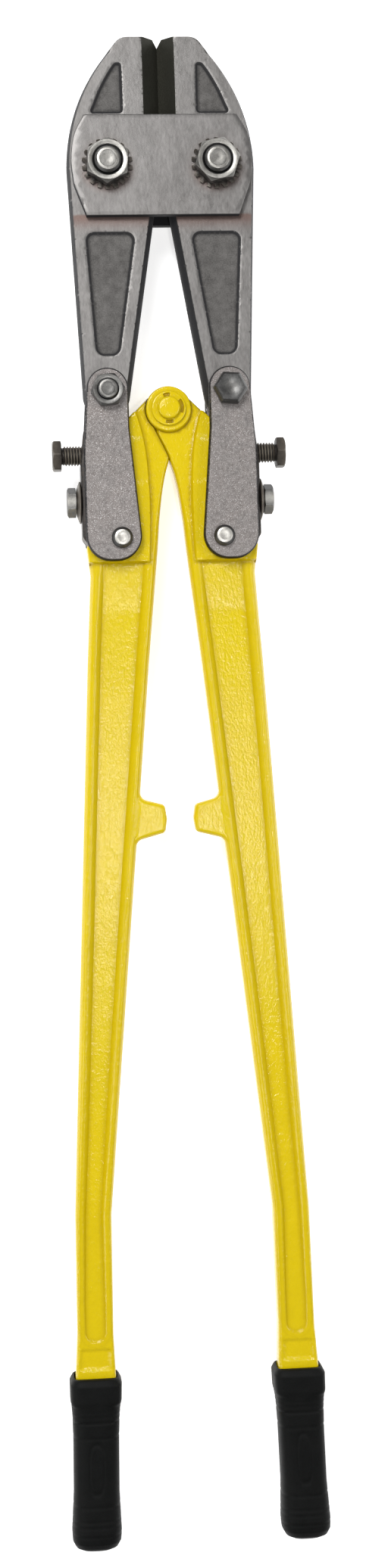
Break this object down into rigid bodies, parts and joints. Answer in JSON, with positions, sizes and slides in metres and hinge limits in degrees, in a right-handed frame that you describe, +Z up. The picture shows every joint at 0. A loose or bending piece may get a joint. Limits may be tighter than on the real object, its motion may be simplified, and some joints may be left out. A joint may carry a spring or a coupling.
{
  "type": "bolt cutters",
  "caption": "Long-handled bolt cutters: two forged jaws between side plates, strap links with adjusting screws, I-section handles and rubber grips.",
  "frame": {"origin": "on the surface the tool lies on, at the middle of its length and width", "axes": "+Y along the tool towards the jaw tips, +X to the right across it, +Z up through its thickness"},
  "size_m": [0.1578, 0.915, 0.0538],
  "materials": {
    "ground_steel": "ground forged alloy steel with darker forged recesses and blackened edges",
    "forged_steel": "rough shot-blasted forging, sparkling grain",
    "dull_zinc_steel": "dull zinc or nickel plated fasteners",
    "black_steel": "black oxide steel, lightly oiled",
    "yellow_paint": "gloss enamel with orange peel over rough forging",
    "black_rubber": "moulded satin black rubber"
  },
  "bodies": {
    "head": {"front_side_plate": "ground_steel", "rear_side_plate": "ground_steel", "left_main_bolt": "dull_zinc_steel", "left_main_nut": "dull_zinc_steel", "left_lock_washer": "black_steel", "right_main_bolt": "dull_zinc_steel", "right_main_nut": "dull_zinc_steel", "right_lock_washer": "black_steel"},
    "left_jaw": {"left_jaw": "ground_steel"},
    "left_handle": {"left_handle": "yellow_paint", "left_front_strap": "forged_steel", "left_rear_strap": "forged_steel", "left_strap_bolt": "dull_zinc_steel", "left_strap_nut": "dull_zinc_steel", "left_strap_pin": "dull_zinc_steel", "left_adjusting_block": "black_steel", "left_grip": "black_rubber", "handle_pivot_pin": "yellow_paint", "front_pivot_washer": "yellow_paint", "rear_pivot_washer": "yellow_paint"},
    "right_jaw": {"right_jaw": "ground_steel"},
    "right_handle": {"right_handle": "yellow_paint", "right_front_strap": "forged_steel", "right_rear_strap": "forged_steel", "right_strap_bolt": "dull_zinc_steel", "right_strap_nut": "dull_zinc_steel", "right_strap_pin": "dull_zinc_steel", "right_adjusting_block": "black_steel", "right_grip": "black_rubber"},
    "left_adjusting_screw": {"left_adjusting_screw": "black_steel"},
    "left_lock_screw": {"left_lock_screw": "dull_zinc_steel", "left_lock_screw_washer": "dull_zinc_steel"},
    "right_adjusting_screw": {"right_adjusting_screw": "black_steel"},
    "right_lock_screw": {"right_lock_screw": "dull_zinc_steel", "right_lock_screw_washer": "dull_zinc_steel"}
  },
  "joints": [
    {"name": "left_jaw_hinge", "type": "hinge", "parent": "head", "child": "left_jaw", "pos_m": [-0.033, 0.3789, 0.0256], "axis": [0, 0, 1], "range_deg": [0, 6.33]},
    {"name": "right_jaw_hinge", "type": "hinge", "parent": "head", "child": "right_jaw", "pos_m": [0.033, 0.3789, 0.0256], "axis": [0, 0, -1], "range_deg": [0, 6.33]},
    {"name": "left_handle_hinge", "type": "hinge", "parent": "left_jaw", "child": "left_handle", "pos_m": [-0.0369, 0.2425, 0.0256], "axis": [0, 0, -1], "range_deg": [0, 46.32]},
    {"name": "right_handle_hinge", "type": "hinge", "parent": "right_jaw", "child": "right_handle", "pos_m": [0.0369, 0.2425, 0.0256], "axis": [0, 0, 1], "range_deg": [0, 46.33]},
    {"name": "left_adjusting_screw_turn", "type": "hinge", "parent": "left_handle", "child": "left_adjusting_screw", "pos_m": [-0.068, 0.2061, 0.0256], "axis": [-1, 0, 0], "range_deg": [-180, 180]},
    {"name": "left_lock_screw_turn", "type": "hinge", "parent": "left_handle", "child": "left_lock_screw", "pos_m": [-0.06, 0.1777, 0.0256], "axis": [-1, 0, 0], "range_deg": [0, 360]},
    {"name": "right_adjusting_screw_turn", "type": "hinge", "parent": "right_handle", "child": "right_adjusting_screw", "pos_m": [0.068, 0.2061, 0.0256], "axis": [1, 0, 0], "range_deg": [-180, 180]},
    {"name": "right_lock_screw_turn", "type": "hinge", "parent": "right_handle", "child": "right_lock_screw", "pos_m": [0.06, 0.1777, 0.0256], "axis": [1, 0, 0], "range_deg": [0, 360]}
  ],
  "couplings": [
    {"joint": "left_jaw_hinge", "follows": "left_handle_hinge", "ratio": 0.13661},
    {"joint": "right_jaw_hinge", "follows": "left_handle_hinge", "ratio": 0.13661},
    {"joint": "right_handle_hinge", "follows": "left_handle_hinge", "ratio": 1}
  ]
}
